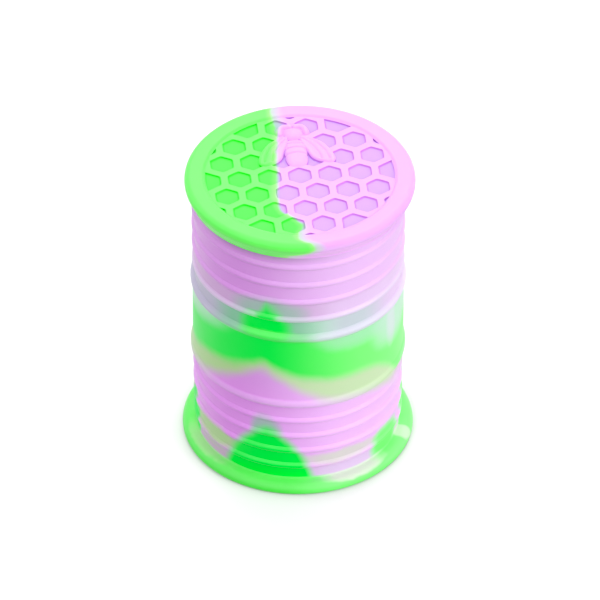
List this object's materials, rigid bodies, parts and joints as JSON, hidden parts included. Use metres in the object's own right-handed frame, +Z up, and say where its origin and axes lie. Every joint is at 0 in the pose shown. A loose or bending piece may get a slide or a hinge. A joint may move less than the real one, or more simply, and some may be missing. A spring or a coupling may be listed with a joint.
{
  "type": "silicone drum jar",
  "caption": "Small round storage jar in marbled silicone, shaped like an oil drum, with a press-in lid that carries a honeycomb and bee relief.",
  "frame": {"origin": "on the drum's axis, in the plane that its base stands on", "axes": "+Z up along the drum's axis, towards the lid; +Y the way the bee's head points; +X to the bee's right-hand side as seen from above"},
  "size_m": [0.0426, 0.0426, 0.0587],
  "materials": {
    "silicone_body": "satin silicone, lilac marbled with bright green",
    "silicone_lid": "satin silicone, half bright green and half lilac"
  },
  "bodies": {
    "body": {"barrel_body": "silicone_body"},
    "cover": {"lid": "silicone_lid"}
  },
  "joints": [
    {"name": "lid_lift", "type": "slide", "parent": "body", "child": "cover", "axis": [0, 0, 1], "range_m": [0, 0.025]}
  ]
}
